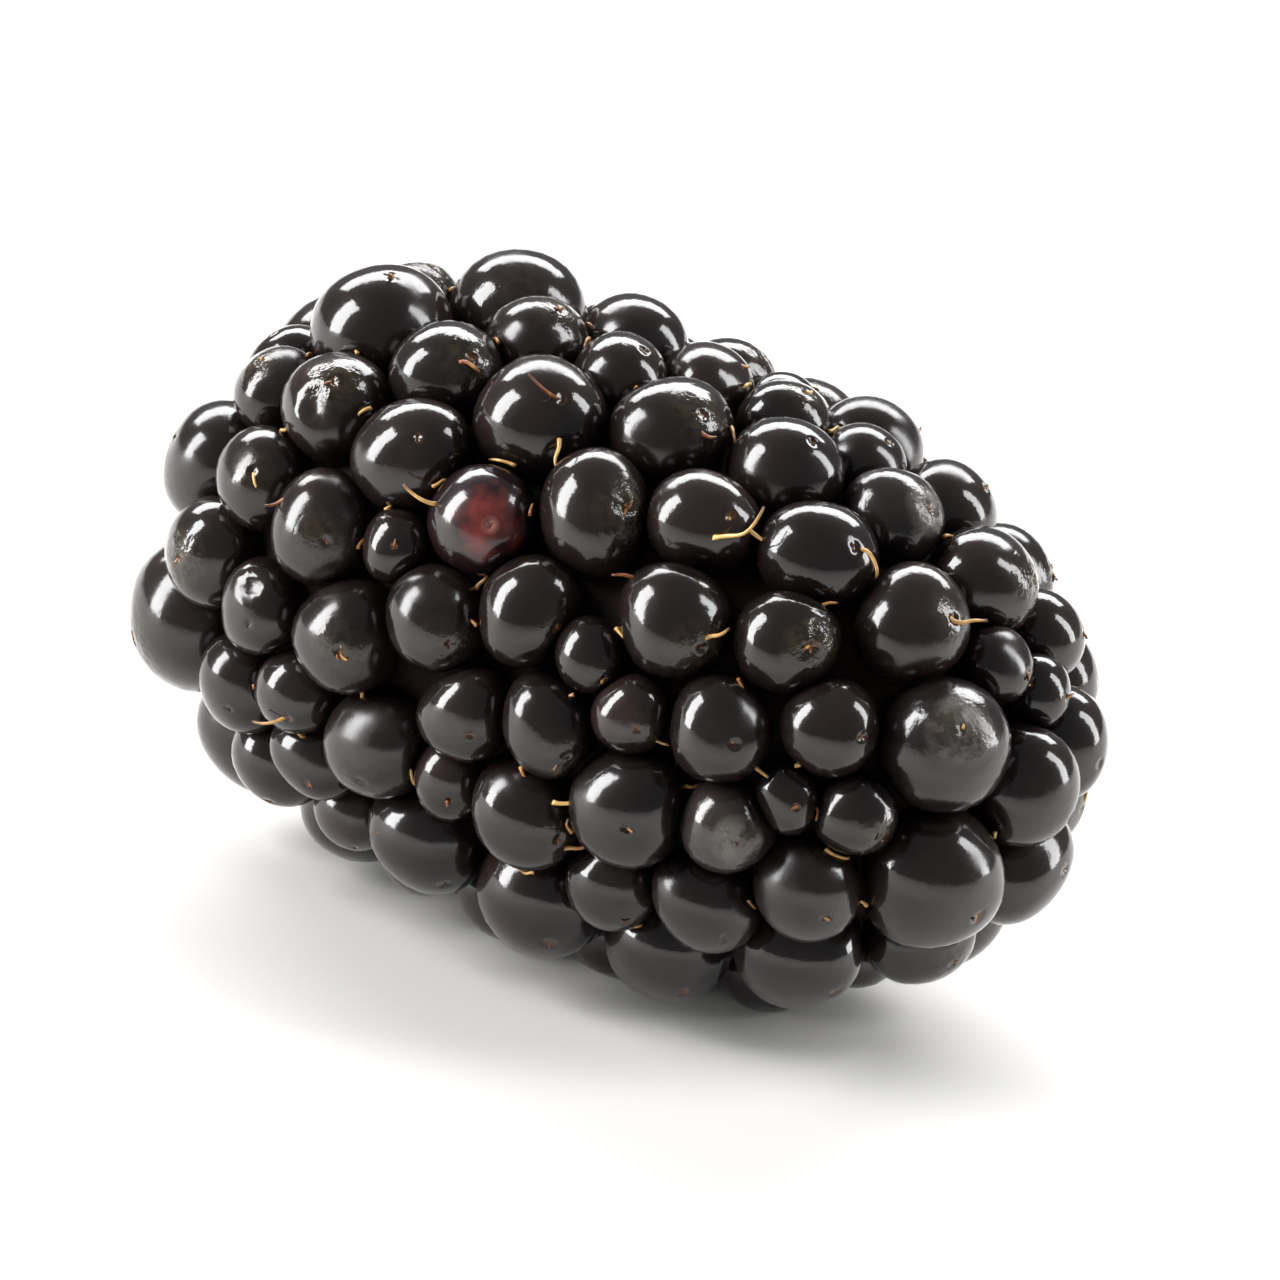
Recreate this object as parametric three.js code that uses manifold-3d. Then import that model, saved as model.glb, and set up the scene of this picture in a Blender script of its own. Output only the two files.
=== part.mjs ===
/**
 * A ripe bramble berry, picked with its core and lying on its side.
 *
 * Millimetres, +Z up. The fruit's length runs along X, with its tip towards +X and its stem end
 * towards -X. The origin lies on the surface that the fruit rests on, under the middle of its box.
 *
 * The fruit grew as one piece, so it is one body: a firm core that ends in a pale plug where the
 * stalk broke off, and nearly 150 round drupelets that stand on the core with their roots in it.
 */
import * as THREE from 'three';
import { mergeVertices } from 'three/addons/utils/BufferGeometryUtils.js';
import Module from 'manifold-3d';

// ---- The egg that runs through the middles of the drupelets ----
const HALF_LENGTH = 15.7;
const HALF_WIDTH = 9.55;
const STEM_FULLNESS = 3.1; // power of the outline towards the stem: higher is blunter
const TIP_FULLNESS = 2.3; // power of the outline towards the tip
const TIP_DROOP = 3; // degrees that the tip lies lower than the stem end

// ---- The drupelets ----
const STARTING_COUNT = 152; // a few find no room and don't grow
const MEAN_RADIUS = 1.66;
const RADIUS_SPREAD = 0.18;
const SMALLEST_ROOM = 0.85; // a drupelet with less room than this doesn't grow
const LEAST_SWELL = 0.92; // how far a crowded drupelet stays below its own size
const MOST_SWELL = 1.06; // how far a drupelet outgrows its own size into free room
const PRESS = 0.02; // how far neighbours swell into each other
const EARLY_REACH = 1.35; // neighbours stand apart by this much of their radii to begin with,
const CROWDED_REACH = 1.12; // by this much while the near side is set,
const FINAL_REACH = 1.18; // and by this much once all of them ease into place
const SEED = 7;

// The drupelets of the near side that give this fruit its look, each as
// [station along the fruit, degrees round it from the near side upwards, radius].
const NEAR_SIDE_DRUPELETS = [
  // The blunt stem end, with the largest drupelets
  [-14.0, -36, 2.4], [-12.4, -64, 2.1], [-11.7, 82, 2.3], [-8.8, 112, 2.2],
  [-11.0, 46, 1.75], [-11.1, -8, 1.4], [-12.0, 24, 1.5],
  // The upper row, up to the large one beside the tip
  [-8.3, 75, 1.75], [-7.4, 52, 1.85], [-3.7, 72, 2.1], [-3.3, 44, 1.75], [0.9, 78, 1.85],
  [0.5, 50, 1.85], [4.4, 56, 1.85], [7.8, 74, 1.85], [8.4, 42, 1.65], [11.3, 60, 1.75],
  [14.4, 44, 2.1],
  // The middle rows
  [-8.4, 16, 1.65], [-5.7, 32, 1.05], [-4.4, 14, 1.75], [-0.7, 22, 1.65], [2.1, 24, 1.3],
  [4.8, 32, 1.85], [-8.1, -16, 1.4], [-5.1, -20, 1.85], [-1.1, -4, 1.4], [1.8, 0, 1.5],
  [4.5, 10, 1.2], [7.3, 12, 1.6],
  // The lower row
  [-2.8, -44, 1.85], [0.8, -26, 2.0], [5.3, -12, 1.85], [8.7, -12, 1.5], [11.9, -12, 1.8],
  [10.9, -54, 2.0],
  // A small one in the gap before the tip
  [12.6, 6, 1.3],
];

// ---- One drupelet of radius 1: a round bead on a root, as distances from its axis and along it ----
const BEAD_SIDES = 8;
const BEAD_PROFILE = [[0, -1.1], [1.0, -0.08], [0.82, 0.57], [0.44, 0.9], [0, 1.0]];

// ---- The core and the plug at the stem end ----
const CORE_DEPTH = 0.45; // how far the core's skin lies below the middles of the drupelets
const CORE_SIDES = 16;
const CORE_STATIONS = [-0.96, -0.85, -0.55, 0, 0.5, 0.8, 0.95, 1.0]; // shares of the half length
const PLUG_CLEARING = 3.5; // radius that the drupelets leave free round the stem scar
const PLUG_RADIUS = 2.9;
const PLUG_HEIGHT = 1.2; // how far the plug stands out of the core round it
const PLUG_EDGE = 0.35; // how far its worn edge is broken
const DISH_RADIUS = 1.6; // the dish where the stalk broke off
const DISH_DEPTH = 0.5;

// ---- How it rests: the lowest drupelets press flat ----
const RESTING_DRUPELETS = 6;
const PRESSED_FLAT = 0.12; // how far the last of them is pressed in

const BLACK_SKIN = { color: 0x0b0709, roughness: 0.22, metalness: 0 };

/** A repeatable stream of numbers from 0 to 1. */
function drawFrom(seed) {
  let state = seed;
  return () => {
    state = (state * 1664525 + 1013904223) % 4294967296;
    return state / 4294967296;
  };
}

/** The point of the egg that lies straight out from its middle through a point. */
function ontoEgg(point) {
  const power = point.x < 0 ? STEM_FULLNESS : TIP_FULLNESS;
  const along = Math.abs(point.x) / HALF_LENGTH;
  const across = Math.hypot(point.y, point.z) / HALF_WIDTH;
  return point.multiplyScalar((along ** power + across ** power) ** (-1 / power));
}

/** Half the egg's width at a station along it. */
function widthAt(station) {
  const power = station < 0 ? STEM_FULLNESS : TIP_FULLNESS;
  return HALF_WIDTH * (1 - (Math.abs(station) / HALF_LENGTH) ** power) ** (1 / power);
}

/** The direction that a drupelet grows in, square to the egg. */
function outwardAt(point) {
  const power = point.x < 0 ? STEM_FULLNESS : TIP_FULLNESS;
  const reach = Math.hypot(point.y, point.z);
  const along = Math.sign(point.x) * (Math.abs(point.x) / HALF_LENGTH) ** (power - 1) / HALF_LENGTH;
  const across = (reach / HALF_WIDTH) ** (power - 1) / HALF_WIDTH;
  return new THREE.Vector3(along, across * point.y / reach, across * point.z / reach).normalize();
}

/** The gaps between a drupelet's skin and the skins of all others, below 0 where they overlap. */
function gapsRound(drupelet, drupelets) {
  return drupelets.filter((other) => other !== drupelet).map((other) => (
    drupelet.middle.distanceTo(other.middle) - drupelet.radius - other.radius));
}

/** The largest radius that fits at a drupelet's place. */
function roomFor(drupelet, drupelets) {
  return drupelet.radius + Math.min(...gapsRound(drupelet, drupelets));
}

/** Pushes crowded drupelets apart over the egg, and off the stem scar. */
function spreadOut(drupelets, rounds, reach) {
  for (let round = 0; round < rounds; round += 1) {
    for (let i = 0; i < drupelets.length; i += 1) {
      for (let j = 0; j < i; j += 1) {
        const [one, other] = [drupelets[i], drupelets[j]];
        const apart = one.middle.clone().sub(other.middle);
        const wanted = reach * (one.radius + other.radius);
        if (apart.length() < wanted) {
          const push = apart.multiplyScalar(0.4 * (wanted / apart.length() - 1));
          if (!one.fixed) one.middle.add(push);
          if (!other.fixed) other.middle.sub(push);
        }
      }
    }
    for (const { middle, radius, fixed } of drupelets) {
      const reachNow = Math.hypot(middle.y, middle.z);
      const clear = PLUG_CLEARING + 0.75 * radius;
      if (!fixed && middle.x < 0 && reachNow < clear) {
        middle.y *= clear / reachNow;
        middle.z *= clear / reachNow;
      }
      if (!fixed) ontoEgg(middle);
    }
  }
}

/** All drupelets, each with its middle, its radius and whether its place is fixed. */
function growDrupelets() {
  const draw = drawFrom(SEED);
  const turn = THREE.MathUtils.degToRad(137.508);
  const drupelets = [];
  for (let i = 0; i < STARTING_COUNT; i += 1) {
    const height = 1 - 2 * (i + 0.5) / STARTING_COUNT;
    const width = Math.sqrt(1 - height * height);
    const variation = 2 * (draw() + draw() + draw() - 1.5);
    const middle = new THREE.Vector3(
      HALF_LENGTH * height,
      -HALF_WIDTH * width * Math.cos(i * turn),
      -HALF_WIDTH * width * Math.sin(i * turn),
    );
    const radius = MEAN_RADIUS * (1 + RADIUS_SPREAD * variation);
    drupelets.push({ middle: ontoEgg(middle), radius, fixed: false });
  }
  spreadOut(drupelets, 12, EARLY_REACH);

  for (const [station, degrees, radius] of NEAR_SIDE_DRUPELETS) {
    const angle = THREE.MathUtils.degToRad(degrees);
    const width = widthAt(station);
    const place = new THREE.Vector3(station, -width * Math.cos(angle), width * Math.sin(angle));
    const free = drupelets.filter((drupelet) => !drupelet.fixed);
    const distances = free.map((drupelet) => drupelet.middle.distanceTo(place));
    const closest = free[distances.indexOf(Math.min(...distances))];
    closest.middle.copy(place);
    closest.radius = radius;
    closest.fixed = true;
  }
  spreadOut(drupelets, 60, CROWDED_REACH);

  for (;;) {
    const free = drupelets.filter((drupelet) => !drupelet.fixed);
    const rooms = free.map((drupelet) => roomFor(drupelet, drupelets));
    const least = Math.min(...rooms);
    if (least >= SMALLEST_ROOM) break;
    drupelets.splice(drupelets.indexOf(free[rooms.indexOf(least)]), 1);
    spreadOut(drupelets, 4, CROWDED_REACH);
  }
  for (const drupelet of drupelets) drupelet.fixed = false;
  spreadOut(drupelets, 12, FINAL_REACH);

  const swollen = drupelets.map((drupelet) => {
    const gaps = gapsRound(drupelet, drupelets).sort((one, other) => one - other);
    const ease = (gaps[0] + gaps[1] + gaps[2]) / 6 + PRESS;
    const { radius } = drupelet;
    return THREE.MathUtils.clamp(radius + ease, LEAST_SWELL * radius, MOST_SWELL * radius);
  });
  swollen.forEach((radius, index) => { drupelets[index].radius = radius; });
  return drupelets;
}

/** A closed solid from a geometry whose faces point outwards. */
function solidFrom(wasm, geometry) {
  const bare = geometry.clone();
  bare.deleteAttribute('normal');
  bare.deleteAttribute('uv');
  const merged = mergeVertices(bare, 1e-4);
  return new wasm.Manifold(new wasm.Mesh({
    numProp: 3,
    vertProperties: Float32Array.from(merged.attributes.position.array),
    triVerts: Uint32Array.from(merged.index.array),
  }));
}

/** A round solid about the Y axis, from its profile of distances across and along that axis. */
function turned(profile, sides) {
  const points = profile.map(([across, along]) => new THREE.Vector2(across, along));
  return new THREE.LatheGeometry(points, sides);
}

/** One bead of radius 1, standing on its root along +Z. */
function beadGeometry() {
  return turned(BEAD_PROFILE, BEAD_SIDES).rotateX(Math.PI / 2);
}

/** The core along X, with the dished plug at its stem end. */
function coreGeometry() {
  const halfLength = HALF_LENGTH - CORE_DEPTH;
  const slimming = (HALF_WIDTH - CORE_DEPTH) / HALF_WIDTH;
  const foot = CORE_STATIONS[0] * halfLength;
  const face = foot - PLUG_HEIGHT;
  const plug = [
    [0, face + DISH_DEPTH],
    [DISH_RADIUS, face + DISH_DEPTH / 2],
    [PLUG_RADIUS - PLUG_EDGE, face],
    [PLUG_RADIUS, face + PLUG_EDGE],
    [PLUG_RADIUS, foot - PLUG_EDGE / 2],
  ];
  const skin = CORE_STATIONS.map((share) => [slimming * widthAt(share * HALF_LENGTH), share * halfLength]);
  return turned([...plug, ...skin], CORE_SIDES).rotateZ(-Math.PI / 2);
}

/** The whole fruit as one geometry, lying on its lowest drupelets with its box over the origin. */
function fruitGeometry(wasm) {
  const droop = new THREE.Matrix4().makeRotationY(THREE.MathUtils.degToRad(TIP_DROOP));
  const drupelets = growDrupelets();
  const beads = drupelets.map(({ middle, radius }, index) => {
    const outward = outwardAt(middle);
    const place = new THREE.Matrix4().compose(
      middle,
      new THREE.Quaternion().setFromUnitVectors(new THREE.Vector3(0, 0, 1), outward)
        .multiply(new THREE.Quaternion().setFromAxisAngle(new THREE.Vector3(0, 0, 1), index)),
      new THREE.Vector3().setScalar(radius),
    );
    return solidFrom(wasm, beadGeometry().applyMatrix4(place).applyMatrix4(droop));
  });
  const core = solidFrom(wasm, coreGeometry().applyMatrix4(droop));
  const fruit = wasm.Manifold.union([core, ...beads]);

  for (const { middle } of drupelets) middle.applyMatrix4(droop);
  const bottoms = drupelets.map(({ middle, radius }) => middle.z - radius).sort((a, b) => a - b);
  const ground = bottoms[RESTING_DRUPELETS - 1] + PRESSED_FLAT;
  const middleOf = (axis) => {
    const low = Math.min(...drupelets.map(({ middle, radius }) => middle[axis] - radius));
    const high = Math.max(...drupelets.map(({ middle, radius }) => middle[axis] + radius));
    return (low + high) / 2;
  };
  const below = new THREE.BoxGeometry(60, 60, 10).translate(0, 0, ground - 5);
  const pressed = fruit.subtract(solidFrom(wasm, below));

  const { vertProperties, triVerts } = pressed.getMesh();
  const geometry = new THREE.BufferGeometry();
  geometry.setAttribute('position', new THREE.BufferAttribute(vertProperties, 3));
  geometry.setIndex(new THREE.BufferAttribute(triVerts, 1));
  geometry.translate(-middleOf('x'), -middleOf('y'), -ground);
  geometry.computeVertexNormals();
  return geometry;
}

const wasm = await Module();
wasm.setup();

const berry = new THREE.Mesh(fruitGeometry(wasm), new THREE.MeshStandardMaterial(BLACK_SKIN));
berry.name = 'berry';

const group = new THREE.Group();
group.add(berry);

export default group;
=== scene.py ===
"""The looks of a ripe bramble berry that lies on its side: glossy drupelets, core, plug and dried styles."""
import itertools
import math

import bmesh
import bpy
import numpy as np
from mathutils import Matrix, Vector, noise


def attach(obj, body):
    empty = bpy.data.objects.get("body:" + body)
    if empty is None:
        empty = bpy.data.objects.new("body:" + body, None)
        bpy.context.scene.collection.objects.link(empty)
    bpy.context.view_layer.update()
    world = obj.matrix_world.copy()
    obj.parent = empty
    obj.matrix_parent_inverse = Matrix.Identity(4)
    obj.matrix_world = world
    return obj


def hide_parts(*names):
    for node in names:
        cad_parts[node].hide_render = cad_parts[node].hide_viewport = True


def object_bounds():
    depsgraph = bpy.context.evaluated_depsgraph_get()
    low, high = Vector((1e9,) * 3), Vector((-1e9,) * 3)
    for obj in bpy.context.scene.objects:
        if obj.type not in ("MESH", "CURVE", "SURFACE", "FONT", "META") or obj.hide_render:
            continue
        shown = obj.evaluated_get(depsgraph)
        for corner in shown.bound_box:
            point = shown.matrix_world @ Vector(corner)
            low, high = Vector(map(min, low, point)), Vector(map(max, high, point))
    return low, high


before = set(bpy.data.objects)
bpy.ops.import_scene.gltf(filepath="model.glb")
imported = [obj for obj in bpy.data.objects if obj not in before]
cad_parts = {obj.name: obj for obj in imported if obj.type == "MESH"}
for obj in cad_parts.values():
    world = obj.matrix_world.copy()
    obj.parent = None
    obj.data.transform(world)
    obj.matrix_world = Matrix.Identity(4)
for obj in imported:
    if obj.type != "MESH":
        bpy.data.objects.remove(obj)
cad_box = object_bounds()

MM = 0.001  # the berry is planned in millimetres and made in metres

# ---- The egg that runs through the middles of the drupelets, as in the CAD part ----
HALF_LENGTH = 15.7
HALF_WIDTH = 9.55
STEM_FULLNESS = 3.1  # power of the outline towards the stem: higher is blunter
TIP_FULLNESS = 2.3  # power of the outline towards the tip
TIP_DROOP = math.radians(3)

# ---- The drupelets, as in the CAD part ----
STARTING_COUNT = 152  # a few find no room and don't grow
GOLDEN_ANGLE = math.radians(137.508)
MEAN_RADIUS = 1.66
RADIUS_SPREAD = 0.18
SMALLEST_ROOM = 0.85  # a drupelet with less room than this doesn't grow
LEAST_SWELL = 0.92  # a crowded drupelet keeps at least this share of its radius,
MOST_SWELL = 1.06  # and one with free room grows to this share of it at most
PRESS = 0.02  # how far neighbours swell into each other
PUSH = 0.4  # in one round, each of two crowded drupelets moves by this share of the room they lack
EARLY_ROUNDS, EARLY_REACH = 12, 1.35  # neighbours stand apart by this much of their radii to begin with,
CROWDED_ROUNDS, CROWDED_REACH = 60, 1.12  # by this much while the near side is set,
FINAL_ROUNDS, FINAL_REACH = 12, 1.18  # and by this much once all of them ease into place
THINNING_ROUNDS = 4
PLANTING_SEED = 7
PLUG_CLEARING = 3.5  # radius that the drupelets leave free round the stem scar
CLEARING_SHARE = 0.75  # and the share of their own radius that they add to it
RESTING_DRUPELETS = 6  # at least this many are pressed flat on the ground,
PRESSED_FLAT = 0.12  # by this much or more

# The drupelets that give this fruit its look, each as
# [station along the fruit, degrees round it from the near side upwards, radius].
NEAR_SIDE_DRUPELETS = [
    # The blunt stem end, with the largest drupelets
    [-14.0, -36, 2.4], [-12.4, -64, 2.1], [-11.7, 82, 2.3], [-8.8, 112, 2.2],
    [-11.0, 46, 1.75], [-11.1, -8, 1.4], [-12.0, 24, 1.5],
    # The upper row, up to the large one beside the tip
    [-8.3, 75, 1.75], [-7.4, 52, 1.85], [-3.7, 72, 2.1], [-3.3, 44, 1.75], [0.9, 78, 1.85],
    [0.5, 50, 1.85], [4.4, 56, 1.85], [7.8, 74, 1.85], [8.4, 42, 1.65], [11.3, 60, 1.75],
    [14.4, 44, 2.1],
    # The middle rows
    [-8.4, 16, 1.65], [-5.7, 32, 1.05], [-4.4, 14, 1.75], [-0.7, 22, 1.65], [2.1, 24, 1.3],
    [4.8, 32, 1.85], [-8.1, -16, 1.4], [-5.1, -20, 1.85], [-1.1, -4, 1.4], [1.8, 0, 1.5],
    [4.5, 10, 1.2], [7.3, 12, 1.6],
    # The lower row
    [-2.8, -44, 1.85], [0.8, -26, 2.0], [5.3, -12, 1.85], [8.7, -12, 1.5], [11.9, -12, 1.8],
    [10.9, -54, 2.0],
    # A small one in the gap before the tip
    [12.6, 6, 1.3],
]

# ---- What only the looks have ----
# A late one in the widest gap before the tip: station, degrees and radius. The CAD part leaves it out.
LATE_DRUPELET = (10.35, 6, 1.1)

# The tables below name a drupelet by its spot, which is its place in the list above, counted from 0.
LATE_SPOT = len(NEAR_SIDE_DRUPELETS)
RED_SPOT = 10
DULL_SPOTS = (17, 33)

# Dried dents, as [where on it as seen: right and up as shares of its radius, width in degrees, depth].
DENTS = {
    4: [(-0.42, 0.16, 19, 0.10), (-0.38, -0.16, 19, 0.10)],
    5: [(-0.20, 0.50, 22, 0.12)],
    12: [(0.50, 0.02, 13, 0.06), (0.42, 0.30, 10, 0.04), (0.55, -0.28, 10, 0.04)],
    15: [(0.52, -0.18, 16, 0.08), (0.60, 0.20, 12, 0.05)],
}

# Where the scar of the style lies on these, right and up as shares of the radius, and how crumpled it is.
SEEN_SCARS = {
    3: (0.02, 0.10, 0.3), 7: (0.45, 0.30, 0.6), 10: (0.14, -0.10, 0.5), 11: (0.55, 0.35, 0.6),
    12: (0.58, 0.02, 1.0), 15: (0.58, -0.05, 1.0), 16: (0.75, 0.10, 0.4), 17: (0.26, 0.24, 0.8),
    18: (0.04, -0.22, 0.5), 20: (0.25, -0.45, 0.4), 21: (0.58, -0.38, 0.3), 22: (0.40, -0.62, 0.3),
    23: (0.46, -0.48, 0.7), 27: (0.34, -0.62, 0.4), 31: (0.50, -0.45, 0.3), 33: (0.20, -0.35, 0.8),
}

# The longer way across these, in degrees from the right of the view, and by what share they are longer.
LONG_WAYS = {
    10: (95, 0.05), 12: (98, 0.13), 13: (-12, 0.12), 14: (-14, 0.08), 15: (80, 0.05), 18: (100, 0.08),
    20: (110, 0.06), 22: (100, 0.12), 23: (60, 0.04), 27: (98, 0.12), 28: (95, 0.06), 29: (105, 0.10),
    LATE_SPOT: (98, 0.12),
}


# =============================== Growing the drupelets ===============================

def draw_from(seed):
    """A repeatable stream of numbers from 0 to 1."""
    state = seed
    while True:
        state = (state * 1664525 + 1013904223) % 4294967296
        yield state / 4294967296


def mix(low, high, share):
    return low + (high - low) * share


def power_at(station):
    return STEM_FULLNESS if station < 0 else TIP_FULLNESS


def onto_egg(x, y, z):
    """The point of the egg that lies straight out from its middle through a point."""
    power = power_at(x)
    along = abs(x) / HALF_LENGTH
    across = math.hypot(y, z) / HALF_WIDTH
    scale = (along ** power + across ** power) ** (-1 / power)
    return [x * scale, y * scale, z * scale]


def width_at(station):
    power = power_at(station)
    return HALF_WIDTH * (1 - (abs(station) / HALF_LENGTH) ** power) ** (1 / power)


def outward_at(middle):
    """The direction that a drupelet grows in, square to the egg."""
    x, y, z = middle
    power = power_at(x)
    reach = math.hypot(y, z)
    along = math.copysign((abs(x) / HALF_LENGTH) ** (power - 1) / HALF_LENGTH, x)
    across = (reach / HALF_WIDTH) ** (power - 1) / HALF_WIDTH
    return Vector((along, across * y / reach, across * z / reach)).normalized()


def place_on_egg(station, degrees):
    width = width_at(station)
    angle = math.radians(degrees)
    return [station, -width * math.cos(angle), width * math.sin(angle)]


def gaps_round(drupelet, drupelets):
    """The gaps between a drupelet's skin and the skins of all others, below 0 where they overlap."""
    return [
        math.dist(drupelet["middle"], other["middle"]) - drupelet["radius"] - other["radius"]
        for other in drupelets if other is not drupelet
    ]


def room_for(drupelet, drupelets):
    return drupelet["radius"] + min(gaps_round(drupelet, drupelets))


def push_apart(one, other, reach):
    """Moves two crowded drupelets away from each other, apart from one whose place is fixed."""
    a = one["middle"]
    b = other["middle"]
    apart = [a[0] - b[0], a[1] - b[1], a[2] - b[2]]
    distance = math.sqrt(apart[0] ** 2 + apart[1] ** 2 + apart[2] ** 2)
    wanted = reach * (one["radius"] + other["radius"])
    if distance >= wanted:
        return
    push = PUSH * (wanted / distance - 1)
    for axis in range(3):
        if not one["fixed"]:
            a[axis] += apart[axis] * push
        if not other["fixed"]:
            b[axis] -= apart[axis] * push


def spread_out(drupelets, rounds, reach):
    """Pushes crowded drupelets apart over the egg, and off the stem scar."""
    for _ in range(rounds):
        for i, one in enumerate(drupelets):
            for other in drupelets[:i]:
                push_apart(one, other, reach)
        for drupelet in drupelets:
            if drupelet["fixed"]:
                continue
            x, y, z = drupelet["middle"]
            reach_now = math.hypot(y, z)
            clear = PLUG_CLEARING + CLEARING_SHARE * drupelet["radius"]
            if x < 0 and reach_now < clear:
                y *= clear / reach_now
                z *= clear / reach_now
            drupelet["middle"][:] = onto_egg(x, y, z)


def sow_drupelets():
    """The first places and sizes, wound round the egg at the golden angle."""
    draw = draw_from(PLANTING_SEED)
    drupelets = []
    for i in range(STARTING_COUNT):
        height = 1 - 2 * (i + 0.5) / STARTING_COUNT
        width = math.sqrt(1 - height * height)
        variation = 2 * (next(draw) + next(draw) + next(draw) - 1.5)
        middle = onto_egg(
            HALF_LENGTH * height,
            -HALF_WIDTH * width * math.cos(i * GOLDEN_ANGLE),
            -HALF_WIDTH * width * math.sin(i * GOLDEN_ANGLE),
        )
        radius = MEAN_RADIUS * (1 + RADIUS_SPREAD * variation)
        drupelets.append({"middle": middle, "radius": radius, "fixed": False, "spot": None})
    return drupelets


def swell(drupelets):
    """Lets each drupelet grow or shrink a little, by the room round it."""
    swollen = []
    for drupelet in drupelets:
        gaps = sorted(gaps_round(drupelet, drupelets))
        radius = drupelet["radius"]
        wished = radius + sum(gaps[:3]) / 6 + PRESS
        swollen.append(min(max(wished, LEAST_SWELL * radius), MOST_SWELL * radius))
    for drupelet, radius in zip(drupelets, swollen):
        drupelet["radius"] = radius


def grow_drupelets():
    """All drupelets by the CAD part's rule, each with its middle, its radius and its spot, if it has one."""
    drupelets = sow_drupelets()
    spread_out(drupelets, EARLY_ROUNDS, EARLY_REACH)

    for spot, (station, degrees, radius) in enumerate(NEAR_SIDE_DRUPELETS):
        place = place_on_egg(station, degrees)
        free = [drupelet for drupelet in drupelets if not drupelet["fixed"]]
        closest = min(free, key=lambda drupelet: math.dist(drupelet["middle"], place))
        closest.update(middle=place, radius=radius, fixed=True, spot=spot)
    spread_out(drupelets, CROWDED_ROUNDS, CROWDED_REACH)

    while True:
        free = [drupelet for drupelet in drupelets if not drupelet["fixed"]]
        tightest = min(free, key=lambda drupelet: room_for(drupelet, drupelets))
        if room_for(tightest, drupelets) >= SMALLEST_ROOM:
            break
        drupelets.remove(tightest)
        spread_out(drupelets, THINNING_ROUNDS, CROWDED_REACH)
    for drupelet in drupelets:
        drupelet["fixed"] = False
    spread_out(drupelets, FINAL_ROUNDS, FINAL_REACH)
    swell(drupelets)
    return drupelets


def lay_down(drupelets):
    """The matrix that takes the egg's frame to the part's, as the fruit lies on its lowest drupelets."""
    droop = Matrix.Rotation(TIP_DROOP, 4, "Y")
    middles = [droop @ Vector(drupelet["middle"]) for drupelet in drupelets]
    radii = [drupelet["radius"] for drupelet in drupelets]
    bottoms = sorted(middle.z - radius for middle, radius in zip(middles, radii))
    ground = bottoms[RESTING_DRUPELETS - 1] + PRESSED_FLAT
    halves = []
    for axis in range(2):
        low = min(middle[axis] - radius for middle, radius in zip(middles, radii))
        high = max(middle[axis] + radius for middle, radius in zip(middles, radii))
        halves.append((low + high) / 2)
    return Matrix.Translation((-halves[0], -halves[1], -ground)) @ droop


def late_drupelet():
    station, degrees, radius = LATE_DRUPELET
    return {"middle": place_on_egg(station, degrees), "radius": radius, "spot": LATE_SPOT}


drupelets = grow_drupelets()
lie = lay_down(drupelets)
drupelets.append(late_drupelet())
tipward = lie.to_3x3() @ Vector((1, 0, 0))
for drupelet in drupelets:
    drupelet["outward"] = (lie.to_3x3() @ outward_at(drupelet["middle"])).normalized()
    drupelet["centre"] = np.array(lie @ Vector(drupelet["middle"]))


# =============================== The camera ===============================

CAMERA_AZIMUTH = math.radians(26)
CAMERA_ELEVATION = math.radians(23.5)
CAMERA_ROLL = math.radians(9)
CAMERA_DISTANCE = 0.36
LENS_LENGTH = 290
SENSOR_WIDTH = 36
AIM = Vector((0, 0, 10.8 * MM))


def set_camera():
    """Sets the camera at the fruit's front right, and returns the matrix from its view to the world."""
    back = Vector((
        math.sin(CAMERA_AZIMUTH) * math.cos(CAMERA_ELEVATION),
        -math.cos(CAMERA_AZIMUTH) * math.cos(CAMERA_ELEVATION),
        math.sin(CAMERA_ELEVATION),
    ))
    turn = (-back).to_track_quat("-Z", "Y").to_matrix() @ Matrix.Rotation(CAMERA_ROLL, 3, "Z")
    bpy.ops.object.camera_add(location=AIM + back * CAMERA_DISTANCE, rotation=turn.to_euler())
    camera = bpy.context.object
    camera.data.lens = LENS_LENGTH
    camera.data.sensor_width = SENSOR_WIDTH
    camera.data.clip_start = 0.01
    camera.data.clip_end = 10
    bpy.context.scene.camera = camera
    return turn


view_turn = set_camera()


def as_seen(right, up):
    """The direction of a spot on a ball, given right and up in the view as shares of its radius."""
    return view_turn @ Vector((right, up, math.sqrt(1 - right ** 2 - up ** 2)))


def across_view(degrees):
    """A direction square to the view, in degrees from the right of the view upwards."""
    turn = math.radians(degrees)
    return view_turn @ Vector((math.cos(turn), math.sin(turn), 0))


# =============================== Modelling helpers ===============================

def select_only(*pieces):
    """Selects these objects alone, the last of them active."""
    bpy.ops.object.select_all(action="DESELECT")
    for piece in pieces:
        piece.select_set(True)
        bpy.context.view_layer.objects.active = piece


def open_for_editing(piece):
    """Opens an object in edit mode with nothing selected, and returns its editable mesh."""
    select_only(piece)
    bpy.ops.object.mode_set(mode="EDIT")
    bpy.ops.mesh.select_mode(type="FACE")
    bpy.ops.mesh.select_all(action="DESELECT")
    return bmesh.from_edit_mesh(piece.data)


def select_faces(piece, mesh, wanted):
    """Selects the faces whose middle passes a test."""
    for face in mesh.faces:
        face.select = wanted(face.calc_center_median())
    bmesh.update_edit_mesh(piece.data)


def close_editing():
    """Leaves edit mode, with the object's faces shaded smooth."""
    bpy.ops.object.mode_set(mode="OBJECT")
    bpy.ops.object.shade_smooth()


def points_of(piece):
    return np.array([vertex.co for vertex in piece.data.vertices])


def move_points(piece, points):
    """Moves all points of a piece to new places, given in millimetres."""
    piece.data.vertices.foreach_set("co", (points * MM).astype(np.float32).ravel())
    piece.data.update()


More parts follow.
